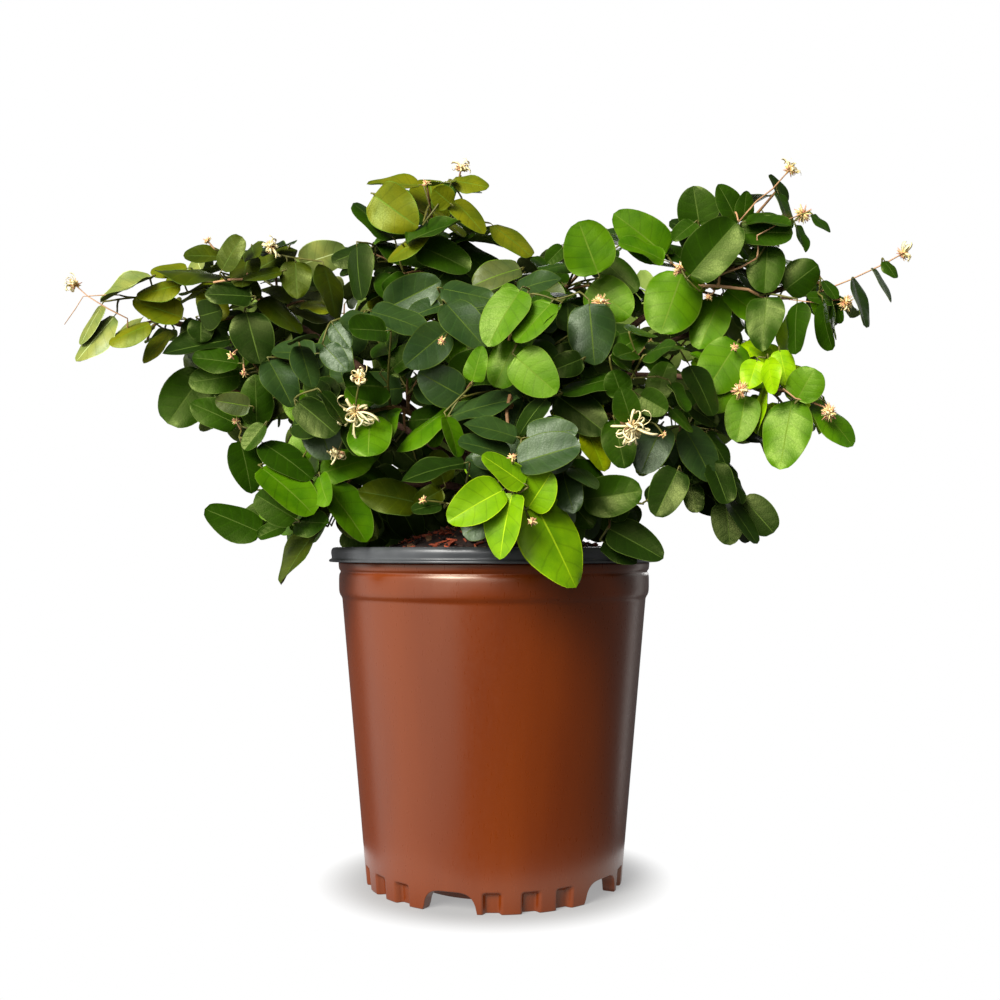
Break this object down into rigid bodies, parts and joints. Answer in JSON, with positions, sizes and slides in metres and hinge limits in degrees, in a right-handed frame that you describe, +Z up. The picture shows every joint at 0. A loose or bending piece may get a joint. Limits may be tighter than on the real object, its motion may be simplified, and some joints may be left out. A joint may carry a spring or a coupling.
{
  "type": "potted chinese fringe flower shrub",
  "caption": "Young evergreen fringe flower shrub with arching boughs of broad oval leaves and small cream flowers, growing in a round brown nursery pot with a black lip.",
  "frame": {"origin": "centre of the pot's flat underside", "axes": "+Z up along the pot's axis, -Y towards the side the picture shows, +X to the right of that side"},
  "size_m": [0.5721, 0.378, 0.4918],
  "materials": {
    "pot_shell": "satin brown formed plastic",
    "pot_lip": "satin black plastic",
    "potting_mix": "moist bark and peat",
    "bark": "rough brown bark",
    "foliage": "leathery green leaves"
  },
  "bodies": {
    "root": {"pot": "pot_shell", "pot_lip": "pot_lip", "soil": "potting_mix", "trunk": "bark", "bough_crest": "bark", "bough_upper_left": "bark", "bough_upper_right": "bark", "bough_centre": "bark", "bough_back_crest": "bark", "bough_front_left": "bark", "bough_front_right": "bark", "bough_back_left": "bark", "bough_back_right": "bark", "bough_low_left": "bark", "bough_low_front": "bark", "bough_low_right": "bark", "bough_low_back": "bark", "bough_crown": "bark", "bough_tip_left": "bark", "bough_middle_left": "bark", "bough_tip_right": "bark", "bough_outer_right": "bark", "bough_hang_right": "bark", "foliage_crest": "foliage", "foliage_upper_left": "foliage", "foliage_upper_right": "foliage", "foliage_centre": "foliage", "foliage_back_crest": "foliage", "foliage_front_left": "foliage", "foliage_front_right": "foliage", "foliage_back_left": "foliage", "foliage_back_right": "foliage", "foliage_low_left": "foliage", "foliage_low_front": "foliage", "foliage_low_right": "foliage", "foliage_low_back": "foliage", "foliage_crown": "foliage", "foliage_tip_left": "foliage", "foliage_middle_left": "foliage", "foliage_tip_right": "foliage", "foliage_outer_right": "foliage", "foliage_hang_right": "foliage"}
  },
  "joints": []
}
